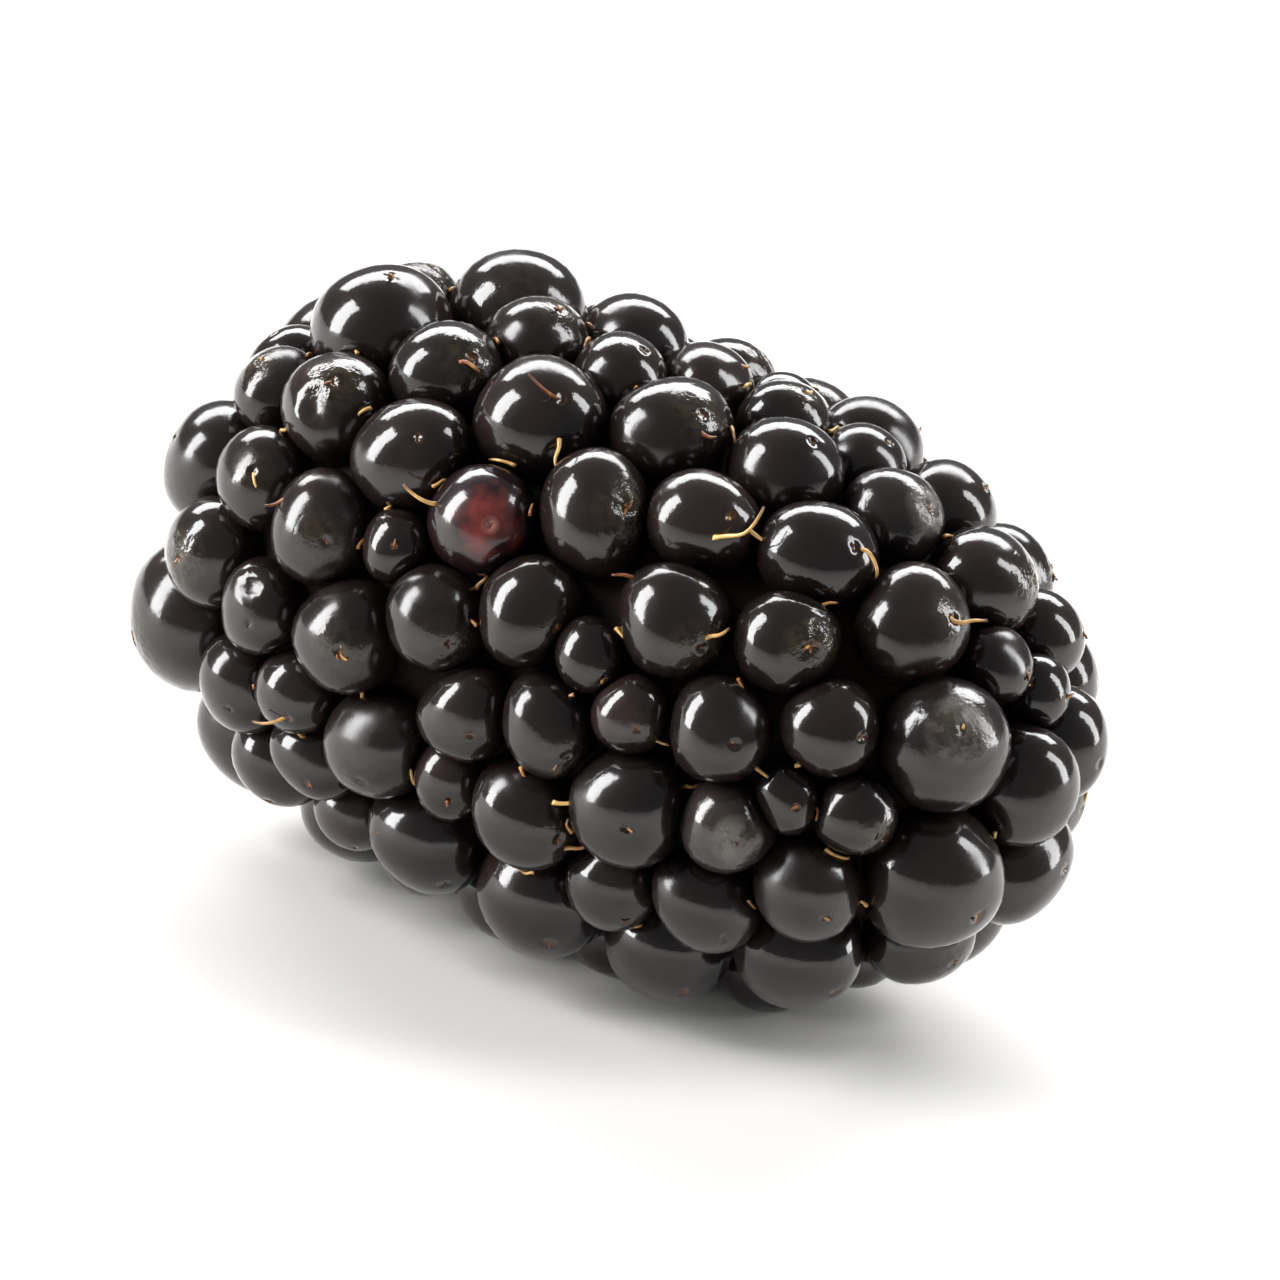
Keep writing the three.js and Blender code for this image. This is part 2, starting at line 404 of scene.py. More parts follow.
def set_trait(piece, trait, values):
    """Keeps one number for each point, for the material to read."""
    attribute = piece.data.attributes.new(trait, "FLOAT", "POINT")
    attribute.data.foreach_set("value", np.asarray(values, dtype=np.float32))


def copy_of(pattern, name):
    """A copy of a pattern with its own mesh."""
    piece = pattern.copy()
    piece.data = pattern.data.copy()
    piece.name = name
    bpy.context.scene.collection.objects.link(piece)
    return piece


def join(pieces, name):
    select_only(*pieces)
    bpy.ops.object.join()
    joined = bpy.context.object
    joined.name = name
    joined.data.name = name
    return joined


# =============================== The drupelets' skins ===============================

SKIN_SEGMENTS = 28
SKIN_RINGS = 18
SKIN_SWELL = 1.005  # ripe skin stands a little out all round
SKIN_SEED = 23
JUICE_GAP = 0.02  # each skin stops this far short of the plane where two would meet
PRESS_SOFTNESS = 0.045  # how round the shoulder is where two skins press on each other

NEARBY = 1.5  # a drupelet further off than this doesn't shape its neighbour
FILL_GAPS = 0.22  # a skin bulges by at most this share of the radius into free room,
BULGE_FOCUS = 5  # more narrowly towards the room, the higher this is,
BULGE_REST = 3  # and less where no neighbour is near, the lower this is

SCAR_WIDTH = math.radians(9)  # from the middle of the scar of the style to its rim
SCAR_STEPS = ((0.07, 0.005), (0.035, -0.035))  # its raised rim and its pit, as (width, rise)
SCAR_LEAN = 28  # degrees that the scar leans towards the tip
LEAN_SPREAD = 18  # degrees between the least and the greatest lean
SCAR_SWAY = 0.35  # how far it strays each way besides, as a share of the radius
SCAR_REACH = 0.16  # the pattern's points this close to its axis belong to the scar
SCAR_SIZES = (0.35, 0.85)  # the smallest and the largest scar, as shares of the pattern's
CRUMPLED_CROWN = (0.80, 0.96)  # cosines of the angles from the scar where creases begin and are full

OVAL_SHARES = (0.02, 0.09)  # by what share the longer way is longer, at least and at most
OVAL_TURN = 100  # degrees between the two extremes of the longer way, about straight round the fruit
# Low waves over each drupelet, as (how close together, how high as a share of the radius).
LUMPS = ((1.3, 0.022), (1.3, 0.022), (3.4, 0.006), (3.4, 0.006), (6.0, 0.003), (7.0, 0.003))
DENT_RIDGE = 0.22  # the raised rim of a dent, as a share of its depth,
RIDGE_WIDTH = 0.28  # and how wide that rim is, as a share of the dent's width
DULL_CHANCE = 0.12  # for each drupelet that isn't in the list of the near side


def model_drupelet():
    """One drupelet of radius 1 at the origin, with the sunken scar of its style on top."""
    bpy.ops.mesh.primitive_uv_sphere_add(
        segments=SKIN_SEGMENTS, ring_count=SKIN_RINGS, radius=1, location=(0, 0, 0),
    )
    pattern = bpy.context.object
    pattern.name = "drupelet_pattern"
    mesh = open_for_editing(pattern)
    select_faces(pattern, mesh, lambda middle: middle.z > math.cos(SCAR_WIDTH))
    for width, rise in SCAR_STEPS:
        bpy.ops.mesh.inset(thickness=width, depth=rise)
    close_editing()
    return pattern


def pressed(height, softness):
    """How far a skin reaches over a plane once it is pressed back to it with a round shoulder."""
    return -softness * np.logaddexp(0, -height / softness)


def close_neighbours(drupelet):
    """The neighbours that a drupelet touches or nearly touches: direction, distance and radius."""
    found = []
    for other in drupelets:
        apart = other["centre"] - drupelet["centre"]
        distance = np.linalg.norm(apart)
        if other is not drupelet and distance < drupelet["radius"] + other["radius"] + NEARBY:
            found.append((apart / distance, distance, other["radius"]))
    return found


def bulge_into_gaps(directions, drupelet, neighbours):
    """How much further than its radius a drupelet grows in each direction, as shares of the radius."""
    radius = drupelet["radius"]
    weights = np.full(len(directions), math.exp(-BULGE_REST))
    growth = np.zeros(len(directions))
    for towards, distance, other_radius in neighbours:
        room = (distance - radius - other_radius) / 2 + PRESS
        weight = np.exp(BULGE_FOCUS * (directions @ towards - 1))
        growth += weight * min(max(room / radius, 0), FILL_GAPS)
        weights += weight
    return growth / weights


def place_scar(drupelet, along, draw):
    """Chooses where the scar of the style lies on a drupelet, and how crumpled the skin round it is."""
    outward = drupelet["outward"]
    lean = math.radians(SCAR_LEAN + LEAN_SPREAD * (next(draw) - 0.5))
    scar = outward * math.cos(lean) + along * math.sin(lean)
    sway = Vector((next(draw) - 0.5, next(draw) - 0.5, next(draw) - 0.5))
    scar = (scar + SCAR_SWAY * sway).normalized()
    crumple = max(0, 2.2 * next(draw) - 1.2)  # more than half of them aren't crumpled
    if drupelet["spot"] in SEEN_SCARS:
        right, up, crumple = SEEN_SCARS[drupelet["spot"]]
        scar = as_seen(right, up)
    drupelet["scar"] = scar
    drupelet["crumple"] = crumple


def fray_scar(shape, draw):
    """Narrows the pattern's scar to a small ragged one."""
    in_scar = np.hypot(shape[:, 0], shape[:, 1])[:, None] < SCAR_REACH
    angle = np.arctan2(shape[:, 1], shape[:, 0])
    size = mix(*SCAR_SIZES, next(draw))
    ragged = size * (1 + 0.4 * np.sin(2 * angle + 6 * next(draw)))
    narrowing = np.stack([ragged, ragged, np.ones_like(ragged)], axis=1)
    return np.where(in_scar, shape * narrowing, shape)


def stretch(directions, drupelet, along, draw):
    """The growth that makes a drupelet a little longer one way than the other."""
    turn = math.radians(90 + OVAL_TURN * (next(draw) - 0.5))
    long_way = along * math.cos(turn) + drupelet["outward"].cross(along) * math.sin(turn)
    longer = mix(*OVAL_SHARES, next(draw))
    if drupelet["spot"] in LONG_WAYS:
        degrees, longer = LONG_WAYS[drupelet["spot"]]
        long_way = across_view(degrees)
    return longer * ((directions @ np.array(long_way)) ** 2 - 0.5)


def lumps(directions, draw):
    """The growth of the low lumps and dips that no two drupelets share."""
    growth = np.zeros(len(directions))
    for pace, height in LUMPS:
        wave = np.array([next(draw), next(draw), next(draw)]) * 2 - 1
        wave *= pace / np.linalg.norm(wave)
        growth += height * np.sin(directions @ wave + 2 * math.pi * next(draw))
    return growth


def dent(points, centre, towards, radius, width, depth):
    """Pushes the skin in round one direction, as where a drupelet has dried a little."""
    away = (points - centre) / np.linalg.norm(points - centre, axis=1)[:, None]
    angle = np.degrees(np.arccos(np.clip(away @ towards, -1, 1)))
    hollow = np.clip(1 - (angle / width) ** 2, 0, 1) ** 1.5
    ridge = DENT_RIDGE * np.exp(-((angle - width) / (RIDGE_WIDTH * width)) ** 2)
    return points + (radius * depth * (ridge - hollow))[:, None] * away


def press_sides(points, centre, radius, neighbours):
    """Presses a drupelet flat against its neighbours and against the ground."""
    for towards, distance, other_radius in neighbours:
        share = radius / (radius + SKIN_SWELL * other_radius)
        height = (points - centre) @ towards - (distance * share - JUICE_GAP)
        points = points + (pressed(height, PRESS_SOFTNESS) - height)[:, None] * towards
    height = -points[:, 2]
    points[:, 2] -= pressed(height, PRESS_SOFTNESS) - height
    points[:, 2] = np.maximum(points[:, 2], 0)
    return points


def shape_drupelet(drupelet, shape, draw):
    """Gives one copy of the pattern its place, size, lean, lumps and pressed sides, in millimetres."""
    centre = drupelet["centre"]
    radius = SKIN_SWELL * drupelet["radius"]
    outward = drupelet["outward"]
    along = (tipward - outward * tipward.dot(outward)).normalized()
    place_scar(drupelet, along, draw)
    scar = drupelet["scar"]
    side = scar.orthogonal().normalized()
    basis = np.array([side, scar.cross(side), scar])

    shape = fray_scar(shape, draw)
    directions = (shape / np.linalg.norm(shape, axis=1)[:, None]) @ basis
    neighbours = close_neighbours(drupelet)
    growth = 1 + bulge_into_gaps(directions, drupelet, neighbours)
    growth += stretch(directions, drupelet, along, draw)
    growth += lumps(directions, draw)
    points = centre + radius * growth[:, None] * (shape @ basis)

    for right, up, width, depth in DENTS.get(drupelet["spot"], []):
        points = dent(points, centre, np.array(as_seen(right, up)), radius, width, depth)
    return press_sides(points, centre, radius, neighbours)


def grow_skins():
    """All drupelets as copies of one pattern, sorted by the look of their skin."""
    pattern = model_drupelet()
    shape = points_of(pattern)
    crown = shape[:, 2] / np.linalg.norm(shape, axis=1)
    creased, full = CRUMPLED_CROWN
    creases = np.clip((crown - creased) / (full - creased), 0, 1)
    draw = draw_from(SKIN_SEED)
    looks = {"ripe": [], "dull": [], "red": []}
    for number, drupelet in enumerate(drupelets):
        piece = copy_of(pattern, f"drupelet_{number}")
        move_points(piece, shape_drupelet(drupelet, shape, draw))
        set_trait(piece, "crown", crown)
        set_trait(piece, "crumple", drupelet["crumple"] * creases)
        set_trait(piece, "tone", np.full(len(shape), next(draw)))
        set_trait(piece, "haze", np.full(len(shape), next(draw) ** 2))
        dulled = next(draw) > 1 - DULL_CHANCE and drupelet["spot"] is None
        if drupelet["spot"] == RED_SPOT:
            looks["red"].append(piece)
        elif drupelet["spot"] in DULL_SPOTS or dulled:
            looks["dull"].append(piece)
        else:
            looks["ripe"].append(piece)
    bpy.data.objects.remove(pattern)
    return looks


# =============================== The core and its plug ===============================

CORE_SEGMENTS = 56
CORE_RINGS = 40
CORE_DEPTH = 0.8  # how far the core's skin lies below the middles of the drupelets
CORE_PITS = 0.18  # and how much that varies

PLUG_SIDES = 48
PLUG_RADIUS = 2.8
PLUG_FACE = -15.8  # station of the plug's broken face
PLUG_FOOT = -12.5
WORN_EDGE = 0.35  # the sloping edge of its face
# The steps from that edge in to the bottom of the dish, as (width, rise).
DISH_STEPS = ((0.3, 0.02), (0.3, 0.0), (0.3, -0.15), (0.3, -0.3), (0.5, -0.3), (0.35, -0.1))
DISH_RADIUS = 1.9  # the browning and the painted shade of the dish fade out this far from the plug's middle
RIM_START = 1.5  # the juice stain begins this far from the plug's middle
RIM_WIDTH = 1.1
TORN_DEPTH = 1.5  # how far behind its face the plug is torn


def clamp(value):
    return max(0.0, min(1.0, value))


def model_core():
    """The core as an egg a little smaller than the one through the drupelets' middles."""
    bpy.ops.object.select_all(action="DESELECT")
    bpy.ops.mesh.primitive_uv_sphere_add(
        segments=CORE_SEGMENTS, ring_count=CORE_RINGS, radius=1, location=(0, 0, 0),
    )
    core = bpy.context.object
    core.name = "core"
    places = []
    for x, y, z in points_of(core):
        place = Vector(onto_egg(z * HALF_LENGTH + 1e-9, -y * HALF_WIDTH, x * HALF_WIDTH))
        pit = CORE_PITS * noise.noise(place * 0.55)
        place *= 1 - (CORE_DEPTH + pit) / place.length
        places.append(lie @ place)
    move_points(core, np.array(places))
    bpy.ops.object.shade_smooth()
    return core


def turn_plug():
    """The plug as a stub along the fruit with a dished face, before it is torn."""
    bpy.ops.mesh.primitive_cylinder_add(
        vertices=PLUG_SIDES, radius=PLUG_RADIUS * MM, depth=(PLUG_FOOT - PLUG_FACE) * MM,
        location=((PLUG_FOOT + PLUG_FACE) / 2 * MM, 0, 0), rotation=(0, math.radians(-90), 0),
    )
    plug = bpy.context.object
    plug.name = "plug"
    bpy.ops.object.transform_apply(location=True, rotation=True, scale=True)
    mesh = open_for_editing(plug)
    select_faces(plug, mesh, lambda middle: middle.x < (PLUG_FACE + 0.01) * MM)
    bpy.ops.mesh.inset(thickness=WORN_EDGE * MM, depth=0.0)
    bpy.ops.transform.translate(value=(-0.2 * MM, 0, 0))
    for width, rise in DISH_STEPS:
        bpy.ops.mesh.inset(thickness=width * MM, depth=rise * MM)
    bpy.ops.mesh.poke()
    bpy.ops.mesh.select_all(action="SELECT")
    bpy.ops.mesh.subdivide(number_cuts=1)
    close_editing()
    return plug


def model_plug():
    """The pale plug with the dish where the stalk broke off, torn and fibrous at its edge."""
    plug = turn_plug()
    places = []
    dish = []
    rim = []
    for point in points_of(plug):
        place = Vector(point) / MM
        angle = math.atan2(place.z, place.y)
        reach = math.hypot(place.y, place.z)
        front = clamp((PLUG_FACE + TORN_DEPTH - place.x) / TORN_DEPTH)
        fray = noise.noise(Vector((2.2 * math.cos(angle), 2.2 * math.sin(angle), 0.2 * reach)))
        fibre = noise.noise(Vector((7 * math.cos(angle), 7 * math.sin(angle), 0.5 * reach)))
        place.x += front * (0.35 * fray + 0.22 * fibre) * min(1.0, reach / 1.2)
        place.y *= 1 + 0.10 * fray + 0.05 * fibre
        place.z *= 1 + 0.10 * fray + 0.05 * fibre
        dish.append(max(0.0, 1 - reach / DISH_RADIUS))
        rim.append(clamp((reach - RIM_START) / RIM_WIDTH))
        places.append(lie @ place)
    move_points(plug, np.array(places))
    set_trait(plug, "dish", dish)
    set_trait(plug, "rim", rim)
    return plug


# =============================== The dried styles ===============================

STYLE_SIDES = 6
STYLE_RINGS = 9
STYLE_FOOT_TAPER = 0.82  # how much narrower the first ring is than the foot,
STYLE_TAPER = 0.93  # and each later ring than the one before
STYLE_SEED = 41
STYLE_SWAY = 0.45  # how far a style wanders sideways, as a share of its length
STYLE_KINK = 0.22  # how much of that it also kinks up and down
STYLE_MARGIN = 0.4  # a style that would pass the CAD part's box by more than this isn't laid
LOWEST_STYLE = 2.5  # no random style starts lower than this over the ground
SCAR_STYLE_WIDTH = 0.19
VALLEY_STYLE_WIDTH = 0.17
SEEN_STYLE_WIDTH = 0.21
CRUMPLED = 0.45  # a scar more crumpled than this has one to three short stubs
LONG_SHARE = 0.10  # of the other scars, this share has a long style
STUB_SHARE = 0.72  # and the rest up to this share a stub
TOUCHING = 0.25  # two skins this close together leave a valley between them,
VALLEY_SHARE = 0.36  # and this share of the valleys hold a style

# Threads that show on the near side, each as [spot of its drupelet, where on it as seen: right and up
# as shares of its radius, angle in the view, length, bend in degrees, tone from brown to straw].
SEEN_STYLES = [
    (3, -0.05, 0.10, 60, 0.35, 10, 1.0),
    (9, 0.30, -0.25, -105, 1.3, 12, 1.0),
    (10, -0.86, 0.30, 178, 1.4, -50, 0.9),
    (18, -0.70, 0.60, 195, 0.9, 20, 0.1),
    (2, -0.10, -0.80, -60, 0.8, 90, 0.5),
    (2, 0.05, -0.85, -120, 0.7, -60, 0.3),
    (7, 0.25, 0.20, 10, 0.9, -80, 0.1),
    (11, 0.50, 0.10, -60, 0.7, 60, 0.1),
    (25, -0.30, 0.80, 85, 1.4, 25, 0.9),
    (20, 0.75, 0.60, 50, 0.8, 10, 0.5),
    (23, -0.62, 0.77, 172, 1.0, 15, 0.15),
    (22, 0.70, 0.68, 20, 0.8, -30, 0.3),
    (15, 0.60, 0.76, -20, 0.9, 30, 0.2),
    (32, 0.72, 0.66, 40, 0.9, -20, 0.2),
    (32, 0.90, 0.35, -30, 0.8, 50, 0.5),
    (34, -0.60, 0.75, 120, 0.8, 40, 0.3),
    (13, 0.20, -0.25, -12, 2.2, 85, 1.0),
    (13, 0.80, -0.05, -46, 1.35, 5, 1.0),
    (23, 0.55, -0.30, 10, 0.9, 30, 0.7),
    (28, -0.62, -0.50, -8, 2.1, 18, 1.0),
    (29, 0.62, -0.72, -42, 0.9, 10, 0.7),
    (31, 0.40, 0.20, -25, 1.4, 80, 0.9),
    (31, 0.60, -0.60, 5, 0.9, 20, 0.4),
    (30, -0.62, 0.68, -50, 0.7, 20, 0.5),
    (30, -0.75, 0.45, -115, 1.1, 30, 0.9),
    (14, 0.70, 0.10, -5, 1.4, -110, 0.7),
    (16, 0.70, 0.10, -25, 1.3, 40, 0.7),
]


def model_style():
    """A thin tapered thread of length 1 up from the origin, with a foot of radius 1 and a blunt end."""
    bpy.ops.mesh.primitive_circle_add(
        vertices=STYLE_SIDES, radius=1, fill_type="NGON", location=(0, 0, 0),
    )
    pattern = bpy.context.object
    pattern.name = "style_pattern"
    open_for_editing(pattern)
    bpy.ops.mesh.select_all(action="SELECT")
    for ring in range(STYLE_RINGS):
        narrowing = STYLE_FOOT_TAPER if ring == 0 else STYLE_TAPER
        bpy.ops.mesh.extrude_region_move(TRANSFORM_OT_translate={"value": (0, 0, 1 / STYLE_RINGS)})
        bpy.ops.transform.resize(value=(narrowing, narrowing, 1))
    bpy.ops.mesh.inset(thickness=0.2, depth=0.05 / STYLE_RINGS)
    bpy.ops.mesh.select_all(action="SELECT")
    bpy.ops.mesh.normals_make_consistent(inside=False)
    close_editing()
    return pattern


def bend_style(thread, sway, foot, heading, towards, length, width, bend):
    """A thread laid from its foot along its heading and bent by some degrees, never 0, towards a side."""
    heading = heading.normalized()
    towards = (towards - heading * towards.dot(heading)).normalized()
    across = heading.cross(towards)
    up = thread[:, 2]
    full = math.radians(bend)
    turned = full * up
    run = length * np.sin(turned) / full
    rise = length * (1 - np.cos(turned)) / full + STYLE_KINK * sway * length * np.sin(7.5 * up)
    wander = sway * length * np.sin(2.4 * up) ** 2
    x = thread[:, 0] * width / 2
    y = thread[:, 1] * width / 2
    return (
        np.array(foot)
        + (run - x * np.sin(turned))[:, None] * np.array(heading)
        + (rise + x * np.cos(turned))[:, None] * np.array(towards)
        + (y + wander)[:, None] * np.array(across)
    )


def stubs_on(drupelet, foot, spin, draw):
    """One to three short stubs on a crumpled scar, as the shape and the tone of each."""
    scar = drupelet["scar"]
    side = scar.orthogonal().normalized()
    for stub in range(1 + int(2.5 * next(draw))):
        way = spin + 5 * stub * next(draw)
        heading = side * math.cos(way) + scar.cross(side) * math.sin(way)
        shape = {
            "foot": foot + heading * 0.06,
            "heading": heading + mix(0.2, 1.2, next(draw)) * scar,
            "towards": scar.cross(heading) - scar,
            "length": mix(0.15, 0.42, next(draw)),
            "width": SCAR_STYLE_WIDTH,
            "bend": mix(20, 150, next(draw)),
        }
        yield shape, next(draw) ** 1.5


def scar_styles(draw):
    """A style, a stub or nothing on each scar."""
    for drupelet in drupelets:
        scar = drupelet["scar"]
        foot = Vector(drupelet["centre"]) + scar * (0.93 * drupelet["radius"])
        spin = 2 * math.pi * next(draw)
        side = scar.orthogonal().normalized()
        round_scar = side * math.cos(spin) + scar.cross(side) * math.sin(spin)
        chance = next(draw)
        size = next(draw)
        tone = next(draw)
        if foot.z < LOWEST_STYLE:
            continue
        if drupelet["crumple"] > CRUMPLED:
            yield from stubs_on(drupelet, foot, spin, draw)
            continue
        shape = {"foot": foot, "towards": -scar, "width": SCAR_STYLE_WIDTH}
        if chance < LONG_SHARE:
            shape.update(heading=scar + 0.9 * round_scar, length=mix(0.8, 2.0, size))
            shape.update(bend=mix(30, 130, tone))
            yield shape, tone
        elif chance < STUB_SHARE:
            shape.update(heading=scar + 0.7 * round_scar, length=mix(0.18, 0.38, size), bend=40)
            yield shape, 0.35 * tone


def valley_styles(draw):
    """Threads that lie in some of the valleys between two drupelets."""
    for number, drupelet in enumerate(drupelets):
        for other in drupelets[:number]:
            apart = Vector(other["centre"] - drupelet["centre"])
            touching = apart.length < drupelet["radius"] + other["radius"] + TOUCHING
            if not touching or next(draw) > VALLEY_SHARE:
                continue
            outward = (drupelet["outward"] + other["outward"]).normalized()
            valley = Vector(drupelet["centre"]) + apart * (drupelet["radius"] / apart.length)
            along = outward.cross(apart).normalized() * (1 if next(draw) < 0.5 else -1)
            size = next(draw)
            foot = valley + outward * (0.45 * min(drupelet["radius"], other["radius"])) - along * 0.4
            lean = apart.normalized() * (1.6 * (next(draw) - 0.5))
            tone = next(draw) ** 0.7
            if foot.z <= LOWEST_STYLE:
                continue
            shape = {
                "foot": foot,
                "heading": along + lean + 0.5 * outward,
                "towards": -outward,
                "length": mix(0.5, 1.5, size ** 2),
                "width": VALLEY_STYLE_WIDTH,
                "bend": mix(20, 140, next(draw)),
            }
            yield shape, tone


def seen_styles():
    """The threads that show on the near side."""
    by_spot = {drupelet["spot"]: drupelet for drupelet in drupelets}
    for spot, right, up, angle, length, bend, tone in SEEN_STYLES:
        drupelet = by_spot[spot]
        on_skin = as_seen(right, up)
        shape = {
            "foot": Vector(drupelet["centre"]) + on_skin * (0.98 * drupelet["radius"]),
            "heading": across_view(angle) + 0.25 * on_skin,
            "towards": across_view(angle + 90),
            "length": length,
            "width": SEEN_STYLE_WIDTH,
            "bend": bend,
        }
        yield shape, tone


def grow_styles():
    """All dried styles as copies of one thread, apart from those that would leave the fruit's box."""
    pattern = model_style()
    thread = points_of(pattern)
    draw = draw_from(STYLE_SEED)
    low_corner = np.array(cad_box[0]) / MM + (-STYLE_MARGIN, -STYLE_MARGIN, 0.02)
    high_corner = np.array(cad_box[1]) / MM + STYLE_MARGIN
    pieces = []
    for shape, tone in itertools.chain(scar_styles(draw), valley_styles(draw), seen_styles()):
        points = bend_style(thread, STYLE_SWAY * (next(draw) - 0.5), **shape)
        if (points < low_corner).any() or (points > high_corner).any():
            continue
        piece = copy_of(pattern, f"style_{len(pieces)}")
        move_points(piece, points)
        set_trait(piece, "along", thread[:, 2])
        set_trait(piece, "tone", np.full(len(thread), tone))
        pieces.append(piece)
    bpy.data.objects.remove(pattern)
    return join(pieces, "dried_styles")


# =============================== Materials ===============================

def new_material(name):
    made = bpy.data.materials.new(name)
    made.use_nodes = True
    return made, made.node_tree, made.node_tree.nodes["Principled BSDF"]


def feed(tree, socket, value):
    """Links another node's output to a socket, or sets a plain value on it."""
    if isinstance(value, bpy.types.NodeSocket):
        tree.links.new(value, socket)
    else:
        socket.default_value = value


def add(tree, kind, **inputs):
    """A new node, with its named inputs set or linked."""
    node = tree.nodes.new(kind)
    for name, value in inputs.items():
        feed(tree, node.inputs[name.replace("_", " ")], value)
    return node


def object_noise(tree, scale, detail=2.0, roughness=0.5):
    place = tree.nodes.get("place") or add(tree, "ShaderNodeTexCoord")
    place.name = "place"
    found = add(tree, "ShaderNodeTexNoise", Vector=place.outputs["Object"], Scale=scale,
                Detail=detail, Roughness=roughness)
    return found.outputs["Fac"]


def trait(tree, name):
    node = tree.nodes.new("ShaderNodeAttribute")
    node.attribute_name = name
    return node.outputs["Fac"]


def remap(tree, value, low, high, out_low, out_high):
    node = add(tree, "ShaderNodeMapRange", Value=value, From_Min=low, From_Max=high,
               To_Min=out_low, To_Max=out_high)
    return node.outputs["Result"]


def blend(tree, share, low, high):
    """A colour between two colours."""
    node = tree.nodes.new("ShaderNodeMix")
    node.data_type = "RGBA"
    for socket, value in ((node.inputs["Factor"], share), (node.inputs[6], low), (node.inputs[7], high)):
        feed(tree, socket, value)
    return node.outputs[2]


def arithmetic(tree, operation, one, other):
    node = tree.nodes.new("ShaderNodeMath")
    node.operation = operation
    feed(tree, node.inputs[0], one)
    feed(tree, node.inputs[1], other)
    return node.outputs[0]


def times(tree, one, other):
    return arithmetic(tree, "MULTIPLY", one, other)


def plus(tree, one, other):
    return arithmetic(tree, "ADD", one, other)


def add_bump(tree, skin, height, strength, distance):
    """Raises a surface by a height from 0 to 1, over a distance in millimetres."""
    bump = add(tree, "ShaderNodeBump", Height=height, Strength=strength, Distance=distance * MM)
    tree.links.new(bump.outputs["Normal"], skin.inputs["Normal"])


# How fine the patterns in the skins and the flesh are: higher is finer.
SKIN_GRAIN = 2600
SKIN_CREASES = 1900
SKIN_SMEARS = 1100
SKIN_PORES = 900
SKIN_PATCHES = 420
SKIN_BLOOM = 330
RED_BLOTCHES = 1300
CORE_GRAIN = 1500
CORE_PATCHES = 600
PLUG_FIBRES = 1800
PLUG_BLOTCHES = 620
STYLE_MOTTLE = 2400

SCAR_BROWN = (0.09, 0.035, 0.014, 1)
CRUMPLED_BROWN = (0.040, 0.028, 0.014, 1)
BLOOM_GREY = (0.105, 0.098, 0.088, 1)

# Each skin goes from dark to light, and is rough and greyish round its crown by its share of bloom.
RIPE_SKIN = {
    "dark": (0.007, 0.005, 0.0045, 1),
    "light": (0.020, 0.011, 0.0095, 1),
    "gloss": 0.045,
    "grain": 0.2,
    "bloomy": 0,
}
DULL_SKIN = {
    "dark": (0.010, 0.007, 0.007, 1),
    "light": (0.034, 0.026, 0.024, 1),
    "gloss": 0.055,
    "grain": 0.4,
    "bloomy": 1,
}

RED_SHADE = (0.010, 0.004, 0.005, 1)
RIPENING_RED = (0.16, 0.026, 0.022, 1)
RED_SCAR = (0.30, 0.12, 0.10, 1)

# The core's near-black colour is partly the dark flesh and partly painted shade in the gaps between the
# drupelets.
CORE_DARK_PAINTED_SHADE = (0.004, 0.002, 0.0015, 1)
CORE_LIGHT_PAINTED_SHADE = (0.017, 0.007, 0.004, 1)

PLUG_FIBRE_DARK = (0.15, 0.11, 0.055, 1)
PLUG_FIBRE_PALE = (0.40, 0.36, 0.23, 1)
DISH_BROWN_AND_SHADE = (0.10, 0.055, 0.022, 1)
JUICE_STAIN = (0.050, 0.006, 0.012, 1)

STYLE_BROWN = (0.20, 0.055, 0.014, 1)
STYLE_STRAW = (0.70, 0.43, 0.14, 1)
STYLE_END = (0.07, 0.02, 0.006, 1)


def cos_of(degrees):
    return math.cos(math.radians(degrees))


def skin_colour(tree, grains, dulled, dark, light):
    """Patches of dark and light, with brown creases, a greyish bloom and a brown scar."""
    patches = remap(tree, object_noise(tree, SKIN_PATCHES, 3), 0.35, 0.7, 0, 1)
    tone = times(tree, patches, remap(tree, trait(tree, "tone"), 0, 1, 0.1, 1))
    colour = blend(tree, tone, dark, light)
    crumpled = times(tree, trait(tree, "crumple"), remap(tree, grains, 0.4, 0.6, 0, 1))
    colour = blend(tree, crumpled, colour, CRUMPLED_BROWN)
    colour = blend(tree, dulled, colour, BLOOM_GREY)
    scar = remap(tree, trait(tree, "crown"), cos_of(8), cos_of(4), 0, 1)
    scar = times(tree, scar, remap(tree, trait(tree, "haze"), 0.0, 0.3, 1, 0.2))
    return blend(tree, scar, colour, SCAR_BROWN)


def skin_roughness(tree, grains, dulled, gloss):
    """Clear where the skin is glossy, and hazier by its own haze, in patches and under the bloom."""
    haze = remap(tree, trait(tree, "haze"), 0.2, 1, gloss, gloss + 0.10)
    haze = plus(tree, haze, remap(tree, grains, 0.35, 0.75, -0.02, 0.05))
    bloom = remap(tree, object_noise(tree, SKIN_BLOOM, 2), 0.55, 0.66, 0, 0.18)
    bloom = plus(tree, bloom, times(tree, dulled, 0.34))
    return plus(tree, haze, bloom)


